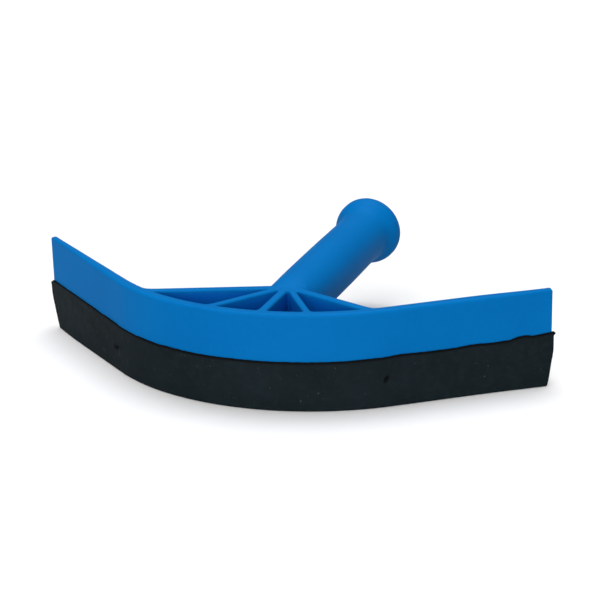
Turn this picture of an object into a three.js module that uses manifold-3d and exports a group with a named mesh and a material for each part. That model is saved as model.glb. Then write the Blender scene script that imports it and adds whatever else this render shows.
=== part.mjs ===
// Curved hand squeegee: a bow-shaped blade carrier with five webs and a hollow
// flared handle, and a rubber blade along the carrier's lower edge.
// Millimetres. +Z up, +Y from the bow towards the handle's end, +X to the right.
// The blade stands on z = 0.

import * as THREE from 'three';
import * as BufferGeometryUtils from 'three/addons/utils/BufferGeometryUtils.js';
import Module from 'manifold-3d';

// ---------------------------------------------------------------- dimensions

// Bow, seen from above: an arc with a straight arm at each end.
const BOW_ARM_DEG = 38.5;          // angle of each straight arm to the chord
const BOW_ARC_HALF = 77.0;         // half of the arc's length, along the front face
const BOW_HALF = 159.7;            // half of the bow's length, along the front face
const BOW_STEPS = 64;

// Heights above the surface that the blade stands on.
const TOP_Z = 48.3;                // top of the bow, the webs and the hub
const SHOULDER_Z = 25.1;           // where the bow ends and the rubber begins
const TONGUE_Z = 11.0;             // lower edge of the tongue inside the rubber
const WEB_Z = 27.0;                // underside of the webs and the hub

// Bow and tongue sections.
const BOW_T = 5.2;
const BOW_EDGE = 0.7;              // chamfer along the upper edges
const TONGUE_T = 3.0;
const TONGUE_SETBACK = 4.0;        // tongue is shorter than the bow at each end
const LOCK_HOLE_D = 5.0;           // holes in the tongue that the rubber fills
const LOCK_S = [-140, -105, -70, -35, 0, 35, 70, 105, 140];
const LOCK_Z = 17.5;

// Webs and hub, fanned out from the handle's axis.
const HANDLE_X = 12.0;             // handle axis, right of the bow's middle
const STRAP_T = 4.5;               // outer pair
const STRAP_DEG = 68.0;            // from the handle's axis
const STRAP_Y = 41.1;              // where their centre lines meet
const WEB_T = 3.0;                 // middle three
const WEB_DEGS = [-32.5, 2.5, 34.5];
const WEB_Y = 44.0;
const HUB_R = 13.45;               // round hub, in line with the handle
const HUB_Y0 = 37.0;
const HUB_Y1 = 44.3;

// Handle: a hollow tube with a flared, open end.
const HANDLE_Y = 45.0;             // centre of its front face
const HANDLE_Z0 = 35.89;           // height of its axis at y = 0
const HANDLE_TILT_DEG = 2.2;       // rises towards the open end
const HANDLE_L = 118.5;
const HANDLE_OUTER = [             // distance along the axis, radius
  [0, 12.85], [0.8, 13.45], [20, 13.75], [60, 13.85], [86, 13.65], [94, 13.8],
  [99, 14.2], [103, 14.85], [107, 15.85], [110.5, 16.9], [113, 17.7], [115, 18.15],
  [116.8, 18.15], [118, 17.6], [118.5, 16.9],
];
const HANDLE_BORE = [              // from the open end inwards
  [118.5, 12.2], [117.6, 11.3], [60, 10.7], [6.5, 10.2],
];

// Rubber blade section, as (distance behind the bow's front face, height).
const GAP = 0.3;
const BLADE_PROUD = 0.6;           // how far it stands out past both bow faces
const BLADE_TOP_Z = SHOULDER_Z - GAP;
const BLADE_OVERHANG = 1.4;        // past the end of the bow at each end
const BLADE_END_CUT = 4.0;         // how far the lower corners are cut back
const BLADE_SECTION = [
  [-BLADE_PROUD, BLADE_TOP_Z], [-BLADE_PROUD, 12.0], [0.2, 0.0], [3.0, 0.0],
  [3.7, 6.0], [BOW_T + BLADE_PROUD, 14.0], [BOW_T + BLADE_PROUD, BLADE_TOP_Z],
];

// Halfway between the bow's foremost line and the handle's rearmost point.
const MID_Y = 81.73;

// ---------------------------------------------------------------- the bow curve

class BowCurve extends THREE.Curve {
  constructor(half) {
    super();
    this.half = half;
    this.radius = BOW_ARC_HALF / THREE.MathUtils.degToRad(BOW_ARM_DEG);
  }

  at(s) {
    const side = Math.sign(s);
    const arc = Math.min(Math.abs(s), BOW_ARC_HALF);
    const rest = Math.abs(s) - arc;
    const angle = arc / this.radius;
    return new THREE.Vector3(
      side * (this.radius * Math.sin(angle) + rest * Math.cos(angle)),
      this.radius * (1 - Math.cos(angle)) + rest * Math.sin(angle),
      0,
    );
  }

  angle(s) {
    return THREE.MathUtils.clamp(s, -BOW_ARC_HALF, BOW_ARC_HALF) / this.radius;
  }

  getPoint(t, target = new THREE.Vector3()) {
    return target.copy(this.at((2 * t - 1) * this.half));
  }
}

const bow = new BowCurve(BOW_HALF);

// A section is drawn as (behind the front face, height). Swept along the level
// bow curve, the shape's x runs downwards and its y runs backwards.
function sweep(section, half) {
  const outline = section.map(([n, z]) => new THREE.Vector2(-z, n));
  return new THREE.ExtrudeGeometry(new THREE.Shape(outline), {
    steps: Math.round(BOW_STEPS * half / BOW_HALF / 2) * 2,
    bevelEnabled: false,
    extrudePath: new BowCurve(half),
  });
}

// A plate between two heights, from its outline seen from above.
function plate(outline, z0, z1) {
  const geometry = new THREE.ExtrudeGeometry(
    new THREE.Shape(outline.map(([x, y]) => new THREE.Vector2(x, y))),
    { depth: z1 - z0, bevelEnabled: false },
  );
  return geometry.translate(0, 0, z0);
}

// ---------------------------------------------------------------- booleans

const wasm = await Module();
wasm.setup();

function solid(geometry) {
  let g = geometry.index ? geometry.toNonIndexed() : geometry.clone();
  for (const name of Object.keys(g.attributes)) {
    if (name !== 'position') g.deleteAttribute(name);
  }
  g = BufferGeometryUtils.mergeVertices(g, 1e-4);
  const p = g.attributes.position.array;
  const kept = [];
  const index = g.index.array;
  for (let i = 0; i < index.length; i += 3) {
    const [a, b, c] = [index[i], index[i + 1], index[i + 2]];
    if (a !== b && b !== c && c !== a) kept.push(a, b, c);
  }
  let out = new wasm.Manifold(new wasm.Mesh({
    numProp: 3,
    vertProperties: new Float32Array(p),
    triVerts: new Uint32Array(kept),
  }));
  if (out.volume() < 0) {
    for (let i = 0; i < kept.length; i += 3) {
      [kept[i + 1], kept[i + 2]] = [kept[i + 2], kept[i + 1]];
    }
    out = new wasm.Manifold(new wasm.Mesh({
      numProp: 3,
      vertProperties: new Float32Array(p),
      triVerts: new Uint32Array(kept),
    }));
  }
  return out;
}

function geometryOf(manifold) {
  const mesh = manifold.getMesh();
  const geometry = new THREE.BufferGeometry();
  const points = new Float32Array(mesh.numVert * 3);
  for (let i = 0; i < mesh.numVert; i += 1) {
    for (let j = 0; j < 3; j += 1) {
      points[3 * i + j] = mesh.vertProperties[i * mesh.numProp + j];
    }
  }
  geometry.setAttribute('position', new THREE.BufferAttribute(points, 3));
  geometry.setIndex(new THREE.BufferAttribute(new Uint32Array(mesh.triVerts), 1));
  geometry.computeVertexNormals();
  return geometry;
}

// A short cylinder through the bow's thickness at arc position s.
function crossPin(s, z, diameter, n0, n1) {
  const geometry = new THREE.CylinderGeometry(diameter / 2, diameter / 2, n1 - n0, 16);
  geometry.translate(0, (n0 + n1) / 2, 0);
  const angle = bow.angle(s);
  const foot = bow.at(s);
  geometry.rotateZ(angle);
  return geometry.translate(foot.x, foot.y, z);
}

// ---------------------------------------------------------------- bow frame

const bowSection = [
  [0, SHOULDER_Z], [BOW_T, SHOULDER_Z], [BOW_T, TOP_Z - BOW_EDGE],
  [BOW_T - BOW_EDGE, TOP_Z], [BOW_EDGE, TOP_Z], [0, TOP_Z - BOW_EDGE],
];
const tongueN0 = (BOW_T - TONGUE_T) / 2;
const tongueN1 = (BOW_T + TONGUE_T) / 2;
const tongueSection = [
  [tongueN0, TONGUE_Z], [tongueN1, TONGUE_Z],
  [tongueN1, SHOULDER_Z + 0.5], [tongueN0, SHOULDER_Z + 0.5],
];

// A web leaves (HANDLE_X, y) forwards at an angle to the handle's axis. It is
// drawn long, and ends inside the bow's thickness.
function web(y, degrees, thickness, length) {
  const a = THREE.MathUtils.degToRad(degrees);
  const along = new THREE.Vector2(Math.sin(a), -Math.cos(a));
  const across = new THREE.Vector2(Math.cos(a), Math.sin(a)).multiplyScalar(thickness / 2);
  const start = new THREE.Vector2(HANDLE_X, y);
  const end = start.clone().addScaledVector(along, length);
  return plate([
    [start.x + across.x, start.y + across.y], [start.x - across.x, start.y - across.y],
    [end.x - across.x, end.y - across.y], [end.x + across.x, end.y + across.y],
  ], WEB_Z, TOP_Z);
}

const tilt = THREE.MathUtils.degToRad(HANDLE_TILT_DEG);
const hub = new THREE.CylinderGeometry(HUB_R, HUB_R, HUB_Y1 - HUB_Y0 + 4, 40);
hub.translate(0, (HUB_Y1 - HUB_Y0 + 4) / 2, 0).rotateX(tilt);
hub.translate(HANDLE_X, HUB_Y0, HANDLE_Z0 + HUB_Y0 * Math.tan(tilt));
let webs = solid(hub);
for (const [y, degrees, thickness, length] of [
  [STRAP_Y, STRAP_DEG, STRAP_T, 90], [STRAP_Y, -STRAP_DEG, STRAP_T, 90],
  ...WEB_DEGS.map((degrees) => [WEB_Y, degrees, WEB_T, 60]),
]) {
  webs = webs.add(solid(web(y, degrees, thickness, length)));
}

// Everything in front of the middle of the bow's thickness is trimmed off.
const front = [];
for (let i = 0; i <= BOW_STEPS; i += 1) {
  const s = (2 * i / BOW_STEPS - 1) * BOW_HALF;
  const p = bow.at(s);
  const a = bow.angle(s);
  front.push([p.x - Math.sin(a) * BOW_T / 2, p.y + Math.cos(a) * BOW_T / 2]);
}
front.push([200, 100], [200, -60], [-200, -60], [-200, 100]);
webs = webs.subtract(solid(plate(front, WEB_Z - 5, TOP_Z + 5)));
// The hub ends on a level line in front of the handle.
webs = webs.subtract(solid(plate(
  [[-200, HUB_Y1], [200, HUB_Y1], [200, 200], [-200, 200]], 0, TOP_Z + 20,
)));

let frame = solid(sweep(bowSection, BOW_HALF))
  .add(solid(sweep(tongueSection, BOW_HALF - TONGUE_SETBACK)))
  .add(webs);
for (const s of LOCK_S) {
  frame = frame.subtract(solid(crossPin(s, LOCK_Z, LOCK_HOLE_D, -2, BOW_T + 2)));
}

// ---------------------------------------------------------------- handle

const handleProfile = [[0, 0], ...HANDLE_OUTER, ...HANDLE_BORE, [HANDLE_BORE.at(-1)[0], 0]]
  .map(([a, r]) => new THREE.Vector2(r, a));
const handleGeometry = new THREE.LatheGeometry(handleProfile, 40);

// ---------------------------------------------------------------- rubber blade

const channelSection = [
  [tongueN0 - GAP, TONGUE_Z - GAP], [tongueN1 + GAP, TONGUE_Z - GAP],
  [tongueN1 + GAP, SHOULDER_Z + 5], [tongueN0 - GAP, SHOULDER_Z + 5],
];
let blade = solid(sweep(BLADE_SECTION, BOW_HALF + BLADE_OVERHANG))
  .subtract(solid(sweep(channelSection, BOW_HALF - TONGUE_SETBACK + GAP)));
for (const s of LOCK_S) {
  blade = blade.add(solid(crossPin(s, LOCK_Z, LOCK_HOLE_D - 2 * GAP, 0.4, BOW_T - 0.4)));
}
// The blade's ends lean inwards towards its lower edge.
for (const side of [-1, 1]) {
  const end = BOW_HALF + BLADE_OVERHANG;
  const wedge = new THREE.ExtrudeGeometry(new THREE.Shape([
    new THREE.Vector2(0, 16), new THREE.Vector2(-BLADE_END_CUT, -1),
    new THREE.Vector2(20, -1), new THREE.Vector2(20, 16),
  ]), { depth: 40, bevelEnabled: false });
  wedge.translate(0, 0, -20).rotateX(Math.PI / 2);
  if (side < 0) wedge.rotateZ(Math.PI);
  const foot = bow.at(side * end);
  wedge.rotateZ(bow.angle(side * end)).translate(foot.x, foot.y, 0);
  blade = blade.subtract(solid(wedge));
}

// ---------------------------------------------------------------- assembly

const blue = () => new THREE.MeshStandardMaterial({ color: 0x0f72bf, roughness: 0.5, metalness: 0 });
const black = () => new THREE.MeshStandardMaterial({ color: 0x1b2529, roughness: 0.8, metalness: 0 });

const part = new THREE.Group();

const bowFrame = new THREE.Mesh(geometryOf(frame), blue());
bowFrame.name = 'bow_frame';
part.add(bowFrame);

const handle = new THREE.Mesh(geometryOf(solid(handleGeometry)), blue());
handle.name = 'handle';
handle.rotation.x = tilt;
handle.position.set(HANDLE_X, HANDLE_Y, HANDLE_Z0 + HANDLE_Y * Math.tan(tilt));
part.add(handle);

const rubberBlade = new THREE.Mesh(geometryOf(blade), black());
rubberBlade.name = 'rubber_blade';
part.add(rubberBlade);

part.position.y = -MID_Y;

export default part;
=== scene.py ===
import math

import bpy
import numpy as np
from mathutils import Matrix, Vector


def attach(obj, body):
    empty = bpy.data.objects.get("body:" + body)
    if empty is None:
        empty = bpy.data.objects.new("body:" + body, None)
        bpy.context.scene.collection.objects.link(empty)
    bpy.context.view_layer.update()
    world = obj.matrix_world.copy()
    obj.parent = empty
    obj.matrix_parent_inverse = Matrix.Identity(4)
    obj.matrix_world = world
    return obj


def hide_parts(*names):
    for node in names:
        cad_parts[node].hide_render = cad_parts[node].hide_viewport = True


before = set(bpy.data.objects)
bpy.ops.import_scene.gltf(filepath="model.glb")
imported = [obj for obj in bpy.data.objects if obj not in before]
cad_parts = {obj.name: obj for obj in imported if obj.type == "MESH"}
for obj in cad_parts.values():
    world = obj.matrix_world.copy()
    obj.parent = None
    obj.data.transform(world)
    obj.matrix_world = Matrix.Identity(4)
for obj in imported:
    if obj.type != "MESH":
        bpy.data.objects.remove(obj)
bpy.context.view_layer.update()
scene = bpy.context.scene

# ------------------------------------------------------------------ dimensions
# The same driving dimensions as the CAD source, in millimetres.
BOW_ARM = math.radians(38.5)
BOW_ARC_HALF = 77.0
BOW_LEFT, BOW_RIGHT = 160.8, 159.1     # the two arms' lengths, along the front face
BOW_R = BOW_ARC_HALF / BOW_ARM
BOW_T = 5.2
TOP_Z = 48.3
WEB_Z = 27.0
HANDLE_X = 12.0
STRAP_T, STRAPS = 4.5, ((42.7, 68.0), (42.1, -68.4))
WEBS = ((-32.5, 4.1, 44.0), (2.5, 4.5, 44.0), (34.5, 3.5, 44.0))     # from the handle's axis, thickness, where they meet
HANDLE_Y, HANDLE_Z0 = 45.0, 35.89
TILT = math.radians(2.2)
HANDLE_OUTER = [
    (0.8, 13.3), (20, 13.65), (60, 13.85), (90, 13.7), (100, 13.75), (104.5, 14.0),
    (107.5, 14.6), (109.6, 15.55), (111.4, 16.7), (113, 17.5), (115, 17.95),
]
HANDLE_END_R = 17.95
HANDLE_L = 119.2
MID_Y = 81.73
MOULD_Z0 = 22.6            # the moulding runs on a little way inside the rubber
EDGE_R = 0.75              # moulded edge radius
SIN, COS = math.sin(BOW_ARM), math.cos(BOW_ARM)
ARC_X, ARC_Y = BOW_R * SIN, BOW_R * (1 - COS)


def to_world(p):
    """Bow coordinates in millimetres to the row frame in metres."""
    out = np.array(p, float)
    out[:, 1] -= MID_Y
    return out * 0.001


def bow_sn(x, y):
    """Distance along the bow's front face, and distance behind it."""
    ax = np.abs(x)
    phi = np.arctan2(ax, BOW_R - y)
    dx, dy = ax - ARC_X, y - ARC_Y
    arc = phi < BOW_ARM
    s = np.where(arc, BOW_R * phi, BOW_ARC_HALF + dx * COS + dy * SIN)
    n = np.where(arc, BOW_R - np.hypot(ax, BOW_R - y), -dx * SIN + dy * COS)
    return np.where(x < 0, -s, s), n


def bow_xy(s, n):
    """The point n behind the front face at distance s along it."""
    side = np.where(s < 0, -1.0, 1.0)
    arc = np.minimum(np.abs(s), BOW_ARC_HALF)
    rest = np.abs(s) - arc
    a = arc / BOW_R
    x = BOW_R * np.sin(a) + rest * np.cos(a) - n * np.sin(a)
    y = BOW_R * (1 - np.cos(a)) + rest * np.sin(a) + n * np.cos(a)
    return side * x, y


# ------------------------------------------------------------------ distance functions
def box2(u, v, hu, hv, r=0.0):
    du, dv = np.abs(u) - hu + r, np.abs(v) - hv + r
    return np.hypot(np.maximum(du, 0), np.maximum(dv, 0)) + np.minimum(np.maximum(du, dv), 0) - r


def join(a, b, k):
    """Union with a fillet of radius k."""
    return np.maximum(k, np.minimum(a, b)) - np.hypot(np.maximum(k - a, 0), np.maximum(k - b, 0))


def meet(a, b, k):
    """Intersection with a rounded edge of radius k."""
    return -join(-a, -b, k)


def plate(d, z, z0, z1, r):
    w, h = d + r, np.abs(z - (z0 + z1) / 2) - (z1 - z0) / 2 + r
    return np.minimum(np.maximum(w, h), 0) + np.hypot(np.maximum(w, 0), np.maximum(h, 0)) - r


def catmull(points, step):
    """A smooth curve through the points, resampled."""
    p = np.array(points, float)
    e = np.vstack([2 * p[0] - p[1], p, 2 * p[-1] - p[-2]])
    out = []
    for i in range(1, len(e) - 2):
        n = max(2, int(np.hypot(*(e[i + 1] - e[i])) / step))
        t = np.linspace(0, 1, n, endpoint=False)[:, None]
        a, b, c, d = e[i - 1], e[i], e[i + 1], e[i + 2]
        m0 = (c - a) / 2 * min(1.0, 2 * np.hypot(*(c - b)) / max(np.hypot(*(c - a)), 1e-9))
        m1 = (d - b) / 2 * min(1.0, 2 * np.hypot(*(c - b)) / max(np.hypot(*(d - b)), 1e-9))
        out.append((2 * t**3 - 3 * t**2 + 1) * b + (t**3 - 2 * t**2 + t) * m0 + (-2 * t**3 + 3 * t**2) * c + (t**3 - t**2) * m1)
    return np.vstack(out + [p[-1:]])


def arc_points(cx, cy, r, a0, a1, n=7):
    a = np.radians(np.linspace(a0, a1, n))
    return np.stack([cx + r * np.cos(a), cy + r * np.sin(a)], 1)


def handle_profile():
    """(distance along the axis, radius) of the tube's wall, from its closed front to its closed bore."""
    outer = catmull(HANDLE_OUTER, 1.0)
    rim = arc_points(HANDLE_L - 1.75, HANDLE_END_R - 1.55, 1.6, 78, 0, 9)
    mouth = arc_points(HANDLE_L - 0.9, 12.3 - 0.0, 0.9, 0, -90, 7)
    bore_end = arc_points(6.5 + 1.5, 10.2 - 1.5, 1.5, 90, 180, 7)
    return np.vstack([
        [(-5.6, 0.0), (-5.6, 12.45)], arc_points(-4.6, 12.45, 1.0, 180, 90, 6), outer, rim, mouth,
        [(60, 10.75)], bore_end, [(6.5, 0.0)],
    ])


def profile_distance(profile, a, r):
    """Signed distance to the closed profile; its last edge, on the axis, doesn't count."""
    p = np.stack([a.ravel(), r.ravel()], 1)
    best = np.full(len(p), 1e9)
    inside = np.zeros(len(p), bool)
    q = np.vstack([profile, profile[:1]])
    for i in range(len(profile)):
        u, v = q[i], q[i + 1]
        if i < len(profile) - 1:
            e = v - u
            w = p - u
            t = np.clip((w @ e) / max(e @ e, 1e-12), 0, 1)
            best = np.minimum(best, np.hypot(*(w - t[:, None] * e).T))
        cross = (u[1] > p[:, 1]) != (v[1] > p[:, 1])
        with np.errstate(divide="ignore", invalid="ignore"):
            hit = p[:, 0] < (v[0] - u[0]) * (p[:, 1] - u[1]) / (v[1] - u[1]) + u[0]
        inside ^= cross & hit
    return np.where(inside, -best, best).reshape(a.shape)


A0, R0, DA = -14.0, 0.0, 0.25
_aa, _rr = np.meshgrid(A0 + DA * np.arange(560), R0 + DA * np.arange(100), indexing="ij")
_table = profile_distance(handle_profile(), _aa, _rr + 1e-4)


def tube(x, y, z):
    """The handle: a lathe form whose distance table is read smoothly."""
    dy, dz = y - HANDLE_Y, z - (HANDLE_Z0 + HANDLE_Y * math.tan(TILT))
    a = dy * math.cos(TILT) + dz * math.sin(TILT)
    dx = x - HANDLE_X - 0.4 * np.clip(1 - a / 95, 0, 1)
    r = np.hypot(dx, -dy * math.sin(TILT) + dz * math.cos(TILT))
    ga = (a - A0) / DA
    gr = (r - R0) / DA
    ca, cr = np.clip(ga, 0, 558.999), np.clip(gr, 0, 98.999)
    i, j = ca.astype(int), cr.astype(int)
    u, v = ca - i, cr - j
    d = (_table[i, j] * (1 - u) * (1 - v) + _table[i + 1, j] * u * (1 - v) + _table[i, j + 1] * (1 - u) * v + _table[i + 1, j + 1] * u * v)
    return d + np.hypot((ga - ca) * DA, (gr - cr) * DA)


def web(x, y, y0, degrees, thickness, length):
    a = math.radians(degrees)
    ux, uy = math.sin(a), -math.cos(a)
    px, py = x - HANDLE_X, y - y0
    return box2(px * ux + py * uy - length / 2, px * uy - py * ux, length / 2, thickness / 2)


def ramp(v, v0, v1):
    u = np.clip((v - v0) / (v1 - v0), 0, 1)
    return u * u * (3 - 2 * u)


def moulding(p):
    """Signed distance to the blue moulding, in bow coordinates in millimetres."""
    x, y, z = p[:, 0], p[:, 1], p[:, 2]
    s, n = bow_sn(x, y)
    # above the rubber the arms grow thinner towards their tips
    left, right = ramp(-s, 60, 160), ramp(s, 116, 158)
    thick = BOW_T - (2.0 * left + 1.6 * right) * ramp(z, 27, 39)
    top = TOP_Z + 1.54 * left
    band = box2(s - (BOW_RIGHT - BOW_LEFT) / 2, n - thick / 2, (BOW_RIGHT + BOW_LEFT) / 2, thick / 2, 0.7)
    fan = join(*[web(x, y, y0, degrees, STRAP_T, 90) for y0, degrees in STRAPS], 0.8)
    for degrees, thickness, y0 in WEBS:
        fan = join(fan, web(x, y, y0, degrees, thickness, 60), 1.0)
    fan = np.maximum(fan, 1.5 - n)
    # past the bow's far ends, and in front of it, there is nothing to join
    plan = join(band, fan, 1.3)
    # the front face's upper edge is rounder than the others
    edge = EDGE_R + ramp(z, 34, 38) * (0.9 * ramp(2.4 - n, 0, 1.2) * ramp(thick, 2.4, 4.6) + 0.45 * ramp(n - 5.5, 0, 3))
    upper = plate(plan, z, WEB_Z, top, edge)
    lower = plate(band, z, MOULD_Z0, top, edge)
    plates = np.minimum(upper, lower)
    # the tube's upper side fades into the level tops of the webs
    slope = math.radians(25)
    cut = ((z - 48.15) - (y - 39.4) * math.tan(slope)) * math.cos(slope)
    grip = meet(tube(x, y, z), cut, 3.5)
    return join(plates, grip, 1.2)


def gradient(f, p, e):
    g = np.empty_like(p)
    for k in range(3):
        d = np.zeros(3)
        d[k] = e
        g[:, k] = f(p + d) - f(p - d)
    return g / (2 * e)


# ------------------------------------------------------------------ surface nets
def surface_net(f, lo, hi, h, block=8):
    """Quads on f = 0. Only blocks near the surface are evaluated."""
    lo = np.array(lo, float)
    counts = (np.ceil((np.array(hi) - lo) / h / block).astype(int)) * block
    nb = counts // block
    centres = np.stack(np.meshgrid(*[(np.arange(k) + 0.5) * block * h for k in nb], indexing="ij"), -1).reshape(-1, 3) + lo
    at = f(centres).reshape(nb)
    near = np.abs(at) < block * h * 0.5 * math.sqrt(3) + 2.5 * h
    field = np.where(at < 0, -9.0, 9.0).astype(np.float32)
    for axis in range(3):
        field = np.repeat(field, block, axis=axis)
    field = np.pad(field, ((0, 1),) * 3, mode="edge")
    mask = near
    for axis in range(3):
        mask = np.repeat(mask, block, axis=axis)
    mask = np.pad(mask, ((0, 1),) * 3, mode="edge")
    grown = mask.copy()
    for axis in range(3):
        m = grown.copy()
        a = [slice(None)] * 3
        b = [slice(None)] * 3
        a[axis], b[axis] = slice(1, None), slice(None, -1)
        m[tuple(a)] |= grown[tuple(b)]
        grown = m
    index = np.argwhere(grown)
    values = np.empty(len(index), np.float32)
    for i in range(0, len(index), 400000):
        values[i:i + 400000] = f(index[i:i + 400000] * h + lo)
    values[values == 0] = 1e-6
    field[grown] = values
    inside = field < 0
    corners = [(i, j, k) for i in (0, 1) for j in (0, 1) for k in (0, 1)]
    shape = np.array(field.shape) - 1
    total = np.zeros(shape, np.int8)
    for i, j, k in corners:
        total += inside[i:i + shape[0], j:j + shape[1], k:k + shape[2]]
    active = (total > 0) & (total < 8)
    cells = np.argwhere(active)
    ids = np.full(shape, -1, np.int64)
    ids[active] = np.arange(len(cells))
    vals = np.stack([field[cells[:, 0] + i, cells[:, 1] + j, cells[:, 2] + k] for i, j, k in corners], 1)
    total_p = np.zeros((len(cells), 3))
    count = np.zeros(len(cells))
    for a in range(8):
        for b in range(a + 1, 8):
            ca, cb = np.array(corners[a]), np.array(corners[b])
            if np.abs(ca - cb).sum() != 1:
                continue
            va, vb = vals[:, a], vals[:, b]
            m = (va < 0) != (vb < 0)
            t = (va[m] / (va[m] - vb[m]))[:, None]
            total_p[m] += ca + t * (cb - ca)
            count[m] += 1
    verts = (cells + total_p / count[:, None]) * h + lo
    quads = []
    for axis in range(3):
        o = [k for k in range(3) if k != axis]
        a = [slice(None)] * 3
        b = [slice(None)] * 3
        a[axis], b[axis] = slice(None, -1), slice(1, None)
        ia, ib = inside[tuple(a)], inside[tuple(b)]
        for first, flip in ((True, False), (False, True)):
            edge = np.argwhere((ia & ~ib) if first else (~ia & ib))
            ok = (edge[:, o[0]] > 0) & (edge[:, o[1]] > 0) & (edge[:, o[0]] < shape[o[0]]) & (edge[:, o[1]] < shape[o[1]])
            edge = edge[ok]
            ring = []
            for d0, d1 in ((-1, -1), (0, -1), (0, 0), (-1, 0)):
                c = edge.copy()
                c[:, o[0]] += d0
                c[:, o[1]] += d1
                ring.append(ids[c[:, 0], c[:, 1], c[:, 2]])
            ring = np.stack(ring, 1)
            if flip != (axis == 1):
                ring = ring[:, ::-1]
            quads.append(ring)
    return verts, np.vstack(quads)


def make_mesh(name, verts, faces):
    mesh = bpy.data.meshes.new(name)
    mesh.vertices.add(len(verts))
    mesh.vertices.foreach_set("co", np.asarray(verts, np.float32).ravel())
    faces = np.asarray(faces)
    width = faces.shape[1]
    mesh.loops.add(faces.size)
    mesh.loops.foreach_set("vertex_index", faces.ravel().astype(np.int32))
    mesh.polygons.add(len(faces))
    mesh.polygons.foreach_set("loop_start", (np.arange(len(faces)) * width).astype(np.int32))
    mesh.update(calc_edges=True)
    mesh.validate()
    return mesh


def add_object(name, mesh):
    ob = bpy.data.objects.new(name, mesh)
    scene.collection.objects.link(ob)
    mesh.polygons.foreach_set("use_smooth", np.ones(len(mesh.polygons), bool))
    return ob


def apply_modifiers(ob):
    dg = bpy.context.evaluated_depsgraph_get()
    mesh = bpy.data.meshes.new_from_object(ob.evaluated_get(dg), depsgraph=dg)
    ob.modifiers.clear()
    old = ob.data
    ob.data = mesh
    bpy.data.meshes.remove(old)


def coordinates(mesh):
    co = np.empty(len(mesh.vertices) * 3, np.float32)
    mesh.vertices.foreach_get("co", co)
    return co.reshape(-1, 3).astype(float)


# ------------------------------------------------------------------ camera
CAM_R = Vector((0.93132, 0.36344, -0.02343))
CAM_U = Vector((-0.09769, 0.31128, 0.94528))
CAM_D = Vector((-0.35085, 0.87807, -0.32541))
cam_data = bpy.data.cameras.new("camera")
cam = bpy.data.objects.new("camera", cam_data)
scene.collection.objects.link(cam)
cam_data.lens = 108.0
cam_data.sensor_width = 36.0
cam_data.clip_start, cam_data.clip_end = 0.05, 30.0
rot = Matrix((CAM_R, CAM_U, -CAM_D)).transposed().to_quaternion()
cam.rotation_mode = "QUATERNION"
cam.rotation_quaternion = rot.normalized()
cam.location = (0.32519, -0.80667, 0.32619)
scene.camera = cam

# ------------------------------------------------------------------ the moulding
H = 0.6
verts, quads = surface_net(moulding, (-138.0, -1.6, 20.4), (138.0, 166.4, 62.4), H)
for _ in range(3):
    g = gradient(moulding, verts, 0.03)
    length2 = np.maximum((g * g).sum(1), 0.25)
    move = -(moulding(verts) / length2)[:, None] * g
    size = np.linalg.norm(move, axis=1)
    move *= np.minimum(1, 0.6 * H / np.maximum(size, 1e-9))[:, None]
    verts = verts + move
carrier_mesh = make_mesh("carrier_moulding", to_world(verts), quads)
carrier = add_object("carrier_moulding", carrier_mesh)
triangles = 2 * len(quads)
if triangles > 185000:
    dec = carrier.modifiers.new("thin_out", "DECIMATE")
    dec.ratio = 185000 / triangles
    apply_modifiers(carrier)
mesh = carrier.data
co = coordinates(mesh) * 1000
co[:, 1] += MID_Y
for _ in range(2):
    g = gradient(moulding, co, 0.03)
    length2 = np.maximum((g * g).sum(1), 0.25)
    move = -(moulding(co) / length2)[:, None] * g
    size = np.linalg.norm(move, axis=1)
    move *= np.minimum(1, 0.12 / np.maximum(size, 1e-9))[:, None]
    co = co + move
mesh.vertices.foreach_set("co", to_world(co).astype(np.float32).ravel())
g = gradient(moulding, co, 0.06)
normals = g / np.maximum(np.linalg.norm(g, axis=1), 1e-9)[:, None]
mesh.polygons.foreach_set("use_smooth", np.ones(len(mesh.polygons), bool))
mesh.update()
mesh.normals_split_custom_set_from_vertices([tuple(v) for v in normals])

# painted light: how deep inside the pockets between the webs each point is, used to paint a brighter blue there in
# place of the light the pockets receive
between = ramp(0.5 - (co[:, 1] - STRAPS[0][0]) - 0.404 * np.abs(co[:, 0] - HANDLE_X), 0, 1.5)
pocket_painted_light = between * ramp(bow_sn(co[:, 0], co[:, 1])[1], 4.2, 5.4) * ramp(TOP_Z - 0.6 - co[:, 2], 0, 2.5)
attribute = mesh.attributes.new("pocket_painted_light", "FLOAT", "POINT")
attribute.data.foreach_set("value", pocket_painted_light.astype(np.float32))

# ------------------------------------------------------------------ the rubber blade
LIP = np.array([
    (-166, 24.2), (-163, 24.4), (-161.4, 25.3), (-160.4, 26.0), (-157, 26.1), (-149, 26.1), (-141, 25.75), (-133, 25.8), (-121, 25.65), (-109, 25.5), (-97, 25.1),
    (-93, 25.3), (-81, 25.0), (-77, 24.6), (-70, 24.75), (-62, 24.6), (-54, 24.75), (-42, 24.5),
    (-38, 24.85), (-22, 24.65), (0, 24.9), (25, 24.95), (50, 24.9), (62, 25.1), (73, 25.2), (77, 25.5),
    (83, 25.7), (89, 25.4), (97, 25.2), (109, 25.25), (117, 25.7), (121, 25.65), (129, 25.3), (137, 25.5),
    (141, 26.5), (145, 26.9), (149, 26.1), (160, 26.9),
])


def waves(s, seed, amount, low, high, count=14):
    rng = np.random.default_rng(seed)
    out = np.zeros_like(s)
    for _ in range(count):
        out += rng.uniform(0.4, 1) * np.sin(2 * math.pi * s / rng.uniform(low, high) + rng.uniform(0, 2 * math.pi))
    return amount * out / math.sqrt(count)


def end_cut(z, left):
    """How far the blade's end face is set back, from its full length, at height z."""
    if left:
        return np.interp(z, [0, 1.5, 3, 6, 9, 12.6, 16, 18.6, 21, 30], [7.2, 6.7, 6.0, 4.8, 3.5, 2.0, 0.8, 0.2, 0.0, 0.0])
    return np.interp(z, [0, 1, 3, 8, 12.7, 17.6, 30], [4.1, 3.6, 3.0, 1.75, 0.65, 0.0, 0.0])


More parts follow.
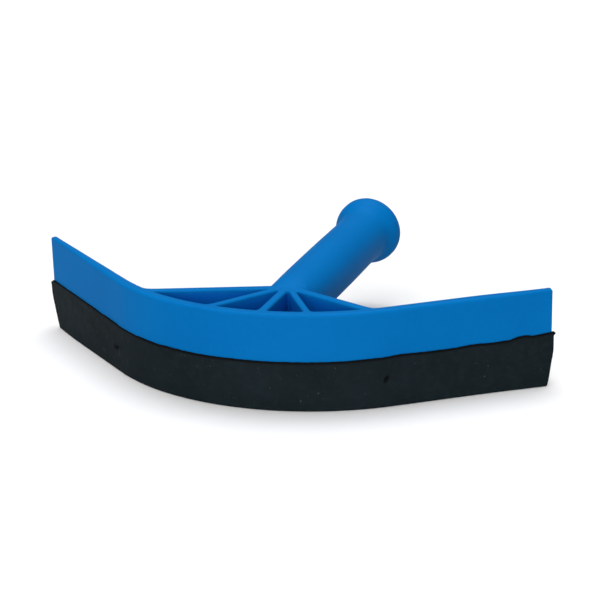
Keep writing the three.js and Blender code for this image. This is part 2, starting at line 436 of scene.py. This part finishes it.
BLADE_LEFT, BLADE_RIGHT = 163.2, 159.9
SEAT_Z = MOULD_Z0 - 0.05
step = 0.55
inner = np.linspace(-BOW_LEFT + 0.5, BOW_RIGHT - 0.5, int((BOW_LEFT + BOW_RIGHT) / step))


def tail(end, full):
    return np.concatenate([[end - 0.2, end + 0.03, end + 0.08], np.linspace(end + 0.1, full - 0.35, 5)[1:]])


stations = np.concatenate([-tail(BOW_LEFT, BLADE_LEFT)[::-1], inner, tail(BOW_RIGHT, BLADE_RIGHT)])
lip_front = np.interp(stations, LIP[:, 0], LIP[:, 1]) + waves(stations, 11, 0.05, 2.5, 9.0) + waves(stations, 5, 0.05, 9.0, 30.0)
lip_back = 25.3 + waves(stations, 23, 0.10, 3.0, 12.0) + waves(stations, 29, 0.15, 14.0, 60.0)


def half_section(lip, top_z, back):
    """(n, z) from the middle of the lower edge, up one face and over the lip to the middle of the seat."""
    if back:
        foot, knee, face, wall = 3.0, (3.7, 6.0), BOW_T + 0.6, BOW_T + 0.02
        pts = [(1.6, 0.0), (foot - 1.0, 0.0), (foot - 0.35, 0.0), (foot - 0.12, 0.06), (foot + 0.0, 0.3)]
        rise = catmull([(foot + 0.04, 0.6), knee, (4.7, 10.2), (5.45, 13.0), (face, 15.6)], 0.8)
        out = 1.0
    else:
        face, wall = -0.6, -0.02
        pts = [(1.6, 0.0), (1.2, 0.0), (0.62, 0.0), (0.36, 0.06), (0.22, 0.3)]
        rise = catmull([(0.19, 0.6), (-0.1, 4.0), (-0.38, 8.0), (-0.56, 12.0), (face, 15.6)], 0.8)
        out = -1.0
    pts = list(map(tuple, pts)) + [tuple(v) for v in rise]
    for t in np.linspace(0, 1, 14)[1:]:
        pts.append((face, 15.6 + t * (lip - 1.15 - 15.6)))
    bead = 0.12 * out
    pts += [
        (face + bead * 0.5, lip - 0.95), (face + bead, lip - 0.7), (face + bead * 0.9, lip - 0.45),
        (face + bead * 0.2 - 0.05 * out, lip - 0.22), (face - 0.22 * out, lip - 0.06), (face - 0.36 * out, lip - 0.03),
        (wall + 0.12 * out, lip - 0.12), (wall + 0.03 * out, lip - 0.4),
    ]
    end = BOW_T / 2
    for t in (0.25, 0.5, 0.75, 1.0):
        pts.append((wall, lip - 0.4 + t * (top_z - lip + 0.4)))
    for t in (0.1, 0.35, 0.7, 1.0):
        pts.append((wall + (end - wall) * t, top_z))
    return np.array(pts)


def loop(lip_f, lip_b, top_z):
    f = half_section(lip_f, top_z, False)
    b = half_section(lip_b, top_z, True)
    k = max(len(f), len(b))

    def even(p):
        if len(p) == k:
            return p
        d = np.concatenate([[0], np.cumsum(np.hypot(*np.diff(p, axis=0).T))])
        extra = k - len(p)
        gaps = np.argsort(-np.diff(d))[:extra]
        add = [(g, (p[g] + p[g + 1]) / 2) for g in gaps]
        for g, m in sorted(add, key=lambda t: -t[0]):
            p = np.insert(p, g + 1, m, axis=0)
        return p

    f, b = even(f), even(b)
    return np.vstack([f, b[::-1][1:]])      # starts and ends at the middle of the lower edge


rings = []
for i, s in enumerate(stations):
    end = BOW_LEFT if s < 0 else BOW_RIGHT
    over = abs(s) > end + 0.05
    mean_lip = 0.5 * (lip_front[i] + lip_back[i])
    ring = loop(lip_front[i], lip_back[i], SEAT_Z)[:-1]
    if over:        # past the end of the bow the rubber is solid up to its lip
        low = (ring[:, 1] < lip_front[i] - 0.35) & (ring[:, 0] > -0.1) & (ring[:, 0] < BOW_T + 0.1) & (ring[:, 1] > 20)
        share = np.clip(ring[:, 0] / BOW_T, 0, 1)
        ring[low, 1] = (lip_front[i] * (1 - share) + lip_back[i] * share)[low] - 0.14
    n, z = ring[:, 0], ring[:, 1]
    along = np.full(len(ring), s)
    w = np.clip((abs(s) - (end - 22)) / 22, 0, 1)
    ear = (0.35 if s < 0 else 1.25) * np.exp(-(((z - (lip_front[i] - (1.1 if s < 0 else 0.8))) / 0.55) ** 2)) * np.clip((abs(s) - end + 1.2) / 2.2, 0, 1)
    along = along + np.sign(s) * (ear * np.where(n < 2.0, 1.0, 0.3) - end_cut(z, s < 0) * w ** 2)
    # towards the ends the lower edge stands a little further forward
    n = n - np.interp(s, [-160, -135, -35, 0, 35, 120, 155], [0.7, 1.3, 0.3, 0.2, 0.4, 1.6, 3.0]) * np.clip((12 - z) / 12, 0, 1)
    rings.append(np.stack([along, n, z], 1))
rings = np.array(rings)


def inset_ring(ring, amount, push, side):
    """The end face's rounded edge: the ring drawn in towards its middle line, and pushed outwards."""
    out = ring.copy()
    mid = np.array([2.6, 12.6])
    for k, (half, c) in enumerate(((3.2, 2.6),)):
        pass
    n, z = ring[:, 1], ring[:, 2]
    width = np.interp(z, [0, 6, 14, 30], [1.45, 2.0, 3.1, 3.1])
    centre = np.interp(z, [0, 6, 14, 30], [1.6, 1.95, 2.6, 2.6])
    out[:, 1] = centre + (n - centre) * np.maximum(0, 1 - amount / width)
    out[:, 2] = mid[1] + (z - mid[1]) * (1 - amount / 12.6)
    out[:, 0] += side * push
    return out


def with_caps(rings):
    first, last = rings[0], rings[-1]
    steps = [(0.04, 0.16), (0.14, 0.27), (0.32, 0.35)]
    head = [inset_ring(first, a, p, -1) for a, p in steps][::-1]
    toe = [inset_ring(last, a, p, 1) for a, p in steps]
    return np.array(head + list(rings) + toe)


rings = with_caps(rings)
count, size = rings.shape[0], rings.shape[1]
flat = rings.reshape(-1, 3)

# the faces aren't dead flat
s_, n_, z_ = flat[:, 0].copy(), flat[:, 1].copy(), flat[:, 2].copy()
front = np.clip((1.6 - n_) / 1.6, 0, 1)
swell = waves(s_ + 3 * z_, 41, 0.055, 18, 70, 10) + waves(s_ - 7 * z_, 43, 0.03, 6, 16, 10)
body = np.clip(z_ / 3, 0, 1) * np.clip((24.0 - z_) / 2, 0, 1)
n_ += np.where(n_ < 1.5, swell * body, 0) + np.where(n_ > 3.2, -swell * body * 0.8, 0)


def dent(s0, z0, rs, rz, depth, lean=0.0):
    ds, dz = (s_ - s0) / rs, (z_ - z0 - lean * (s_ - s0)) / rz
    q = np.sqrt(ds * ds + dz * dz)
    return depth * np.clip(1.25 - q, 0, 1) ** 1.2 - 0.16 * depth * np.exp(-((q - 1.35) / 0.28) ** 2)


on_front = (n_ < 1.0) & (z_ < 24.2)
hollow = dent(-80.7, 12.4, 3.5, 1.3, 1.1, 0.1) + dent(74.3, 14.0, 1.5, 1.9, 1.1, 0.35) + dent(77.8, 15.2, 0.7, 0.6, -0.22)
n_ += np.where(on_front, hollow, 0)
x_, y_ = bow_xy(s_, n_)
blade_verts = to_world(np.stack([x_, y_, z_], 1))
i0, j0 = np.meshgrid(np.arange(count - 1), np.arange(size), indexing="ij")
j1 = (j0 + 1) % size
blade_quads = np.stack([i0 * size + j0, i0 * size + j1, (i0 + 1) * size + j1, (i0 + 1) * size + j0], -1).reshape(-1, 4)
caps = []
half = size // 2
for k in range(0, half):
    a, b = k, k + 1
    c, d = (size - k - 1) % size, (size - k) % size
    if b == c:
        continue
    caps.append((a, b, c, d) if k else (0, 1, size - 1, size - 1))
cap_faces = []
for a, b, c, d in caps:
    if c == d:
        cap_faces.append((a, b, c))
    else:
        cap_faces.append((a, b, c, d))
mesh = bpy.data.meshes.new("rubber_blade_moulded")
all_faces = [tuple(int(v) for v in q) for q in blade_quads]
base = (count - 1) * size
all_faces += [tuple(int(v) for v in reversed(f)) for f in cap_faces]
all_faces += [tuple(int(v) + base for v in f) for f in cap_faces]
mesh.from_pydata([tuple(v) for v in blade_verts], [], all_faces)
mesh.validate()
blade = add_object("rubber_blade_moulded", mesh)
import bmesh
bm = bmesh.new()
bm.from_mesh(mesh)
bmesh.ops.recalc_face_normals(bm, faces=bm.faces)
bm.to_mesh(mesh)
bm.free()
mesh.polygons.foreach_set("use_smooth", np.ones(len(mesh.polygons), bool))
# painted shade: darker rubber close to the lip, as a shadow line under it, and in the dents, as shade in the hollows
lip_here = np.interp(s_, LIP[:, 0], LIP[:, 1])
painted_shade_lip_dents = np.clip((z_ - (lip_here - 1.35)) / 0.5, 0, 1) * (n_ < BOW_T)
painted_shade_lip_dents = np.maximum(painted_shade_lip_dents, np.where(on_front, np.clip(hollow / 0.7, 0, 1), 0))
attribute = mesh.attributes.new("lip_dent_painted_shade", "FLOAT", "POINT")
attribute.data.foreach_set("value", painted_shade_lip_dents.astype(np.float32))
mesh.update()


# ------------------------------------------------------------------ materials
def nodes_of(material):
    material.use_nodes = True
    tree = material.node_tree
    tree.nodes.clear()
    out = tree.nodes.new("ShaderNodeOutputMaterial")
    bsdf = tree.nodes.new("ShaderNodeBsdfPrincipled")
    tree.links.new(bsdf.outputs[0], out.inputs[0])
    return tree, bsdf


def srgb(r, g, b):
    return tuple(((c / 255 + 0.055) / 1.055) ** 2.4 if c > 10.3 else c / 255 / 12.92 for c in (r, g, b)) + (1.0,)


def noise(tree, coord, scale, detail=2.0, rough=0.5, distortion=0.0):
    n = tree.nodes.new("ShaderNodeTexNoise")
    n.inputs["Scale"].default_value = scale
    n.inputs["Detail"].default_value = detail
    n.inputs["Roughness"].default_value = rough
    n.inputs["Distortion"].default_value = distortion
    tree.links.new(coord, n.inputs["Vector"])
    return n.outputs["Fac"]


def remap(tree, value, a, b, c, d):
    m = tree.nodes.new("ShaderNodeMapRange")
    m.inputs["From Min"].default_value = a
    m.inputs["From Max"].default_value = b
    m.inputs["To Min"].default_value = c
    m.inputs["To Max"].default_value = d
    tree.links.new(value, m.inputs["Value"])
    return m.outputs["Result"]


def mix(tree, fac, a, b):
    m = tree.nodes.new("ShaderNodeMix")
    m.data_type = "RGBA"
    for socket, value in ((m.inputs[0], fac), (m.inputs[6], a), (m.inputs[7], b)):
        if isinstance(value, bpy.types.NodeSocket):
            tree.links.new(value, socket)
        else:
            socket.default_value = value
    return m.outputs[2]


def maths(tree, operation, a, b):
    m = tree.nodes.new("ShaderNodeMath")
    m.operation = operation
    for socket, value in ((m.inputs[0], a), (m.inputs[1], b)):
        if isinstance(value, bpy.types.NodeSocket):
            tree.links.new(value, socket)
        else:
            socket.default_value = value
    return m.outputs[0]


def bump(tree, height, strength, distance, normal=None):
    b = tree.nodes.new("ShaderNodeBump")
    b.inputs["Strength"].default_value = strength
    b.inputs["Distance"].default_value = distance
    tree.links.new(height, b.inputs["Height"])
    if normal is not None:
        tree.links.new(normal, b.inputs["Normal"])
    return b.outputs["Normal"]


blue = bpy.data.materials.new("blue_moulded_plastic")
tree, bsdf = nodes_of(blue)
coord = tree.nodes.new("ShaderNodeTexCoord").outputs["Object"]
broad = noise(tree, coord, 22, 3, 0.5)
fine = noise(tree, coord, 420, 2, 0.6)
grain = noise(tree, coord, 1900, 2, 0.65)
tone = mix(tree, remap(tree, broad, 0.35, 0.65, 0, 1), (0.0006, 0.1330, 0.4100, 1), (0.0008, 0.1450, 0.4350, 1))
tone = mix(tree, remap(tree, fine, 0.40, 0.70, 0.0, 0.35), tone, (0.0010, 0.1530, 0.4400, 1))
# painted light: a brighter, bluer base colour inside the pockets between the webs stands in for light reaching them
inside = tree.nodes.new("ShaderNodeAttribute")
inside.attribute_name = "pocket_painted_light"
tone = mix(tree, inside.outputs["Fac"], tone, (0.0020, 0.1300, 0.5150, 1))
tree.links.new(tone, bsdf.inputs["Base Color"])
tree.links.new(remap(tree, fine, 0.3, 0.7, 0.44, 0.54), bsdf.inputs["Roughness"])
normal = bump(tree, grain, 0.10, 0.00012)
normal = bump(tree, broad, 0.05, 0.0012, normal)
tree.links.new(normal, bsdf.inputs["Normal"])
bsdf.inputs["IOR"].default_value = 1.49
bsdf.inputs["Specular IOR Level"].default_value = 0.02
carrier.data.materials.clear()
carrier.data.materials.append(blue)

black = bpy.data.materials.new("black_rubber")
tree, bsdf = nodes_of(black)
coord = tree.nodes.new("ShaderNodeTexCoord").outputs["Object"]
cloud = noise(tree, coord, 38, 4, 0.6, 0.4)
mottle = noise(tree, coord, 260, 3, 0.65)
speck = noise(tree, coord, 900, 1, 0.5)
tone = mix(tree, remap(tree, cloud, 0.35, 0.68, 0, 1), srgb(11, 22, 26), srgb(18, 29, 34))
tone = mix(tree, remap(tree, mottle, 0.45, 0.75, 0.0, 0.5), tone, srgb(28, 40, 44))
tone = mix(tree, remap(tree, speck, 0.76, 0.80, 0.0, 0.55), tone, srgb(84, 94, 96))
# painted shade: near-black colour along the lip line and inside the dents
lip_dent_painted_shade = tree.nodes.new("ShaderNodeAttribute")
lip_dent_painted_shade.attribute_name = "lip_dent_painted_shade"
tone = mix(tree, lip_dent_painted_shade.outputs["Fac"], tone, srgb(2, 4, 6))
tree.links.new(tone, bsdf.inputs["Base Color"])
tree.links.new(remap(tree, mottle, 0.3, 0.7, 0.62, 0.80), bsdf.inputs["Roughness"])
normal = bump(tree, mottle, 0.22, 0.0003)
normal = bump(tree, noise(tree, coord, 2400, 2, 0.6), 0.15, 0.0001, normal)
tree.links.new(normal, bsdf.inputs["Normal"])
bsdf.inputs["IOR"].default_value = 1.5
bsdf.inputs["Specular IOR Level"].default_value = 0.10
blade.data.materials.clear()
blade.data.materials.append(black)

# ------------------------------------------------------------------ frame
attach(carrier, "root")
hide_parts("bow_frame", "handle")
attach(blade, "root")
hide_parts("rubber_blade")

# ------------------------------------------------------------------ studio
floor_mesh = make_mesh("floor", np.array([(-6, -6, -0.0002), (6, -6, -0.0002), (6, 6, -0.0002), (-6, 6, -0.0002)], float), np.array([[0, 1, 2, 3]]))
floor = bpy.data.objects.new("floor", floor_mesh)
scene.collection.objects.link(floor)
paper = bpy.data.materials.new("pale_floor")
tree, bsdf = nodes_of(paper)
coord = tree.nodes.new("ShaderNodeTexCoord").outputs["Object"]
tree.links.new(mix(tree, noise(tree, coord, 60, 2), (0.88, 0.88, 0.88, 1), (0.90, 0.90, 0.90, 1)), bsdf.inputs["Base Color"])
bsdf.inputs["Roughness"].default_value = 0.95
bsdf.inputs["Specular IOR Level"].default_value = 0.0
floor_mesh.materials.append(paper)
# the pale floor is lit brightly, and throws back less light than it shows
dim = tree.nodes.new("ShaderNodeBsdfDiffuse")
dim.inputs["Color"].default_value = (0.58, 0.58, 0.58, 1)
shown = tree.nodes.new("ShaderNodeMixShader")
tree.links.new(tree.nodes.new("ShaderNodeLightPath").outputs["Is Camera Ray"], shown.inputs[0])
tree.links.new(dim.outputs[0], shown.inputs[1])
tree.links.new(bsdf.outputs[0], shown.inputs[2])
tree.links.new(shown.outputs[0], [n for n in tree.nodes if n.type == "OUTPUT_MATERIAL"][0].inputs[0])

world = bpy.data.worlds.new("studio")
scene.world = world
world.use_nodes = True
tree = world.node_tree
tree.nodes.clear()
direction = tree.nodes.new("ShaderNodeTexCoord").outputs["Generated"]
split = tree.nodes.new("ShaderNodeSeparateXYZ")
tree.links.new(direction, split.inputs[0])
high = remap(tree, split.outputs[2], 0.0, 1.0, 0.0, 0.30)
ahead = maths(tree, "POWER", maths(tree, "MAXIMUM", maths(tree, "MULTIPLY", split.outputs[1], -1.0), 0.0), 2.0)
light = maths(tree, "ADD", maths(tree, "ADD", high, maths(tree, "MULTIPLY", ahead, 0.12)), 0.10)
seen = tree.nodes.new("ShaderNodeLightPath").outputs["Is Camera Ray"]
light = maths(tree, "MAXIMUM", light, seen)
sky = tree.nodes.new("ShaderNodeBackground")
sky.inputs[0].default_value = (1, 1, 1, 1)
tree.links.new(light, sky.inputs[1])
out = tree.nodes.new("ShaderNodeOutputWorld")
tree.links.new(sky.outputs[0], out.inputs[0])


def soft_sun(name, direction, share, degrees):
    """A distant soft light. share is what it adds to a white surface that faces it."""
    data = bpy.data.lights.new(name, "SUN")
    data.energy = share * math.pi
    data.angle = math.radians(degrees)
    ob = bpy.data.objects.new(name, data)
    scene.collection.objects.link(ob)
    ob.rotation_euler = Vector(direction).to_track_quat("-Z", "Y").to_euler()
    return ob


soft_sun("overhead_box_back", (0.08, -0.30, -1.0), 0.63, 44)
soft_sun("overhead_box_front", (0.14, 0.36, -1.0), 0.22, 40)
soft_sun("front_box", (-0.22, 1.0, -0.08), 0.92, 50)

scene.view_settings.view_transform = "Standard"
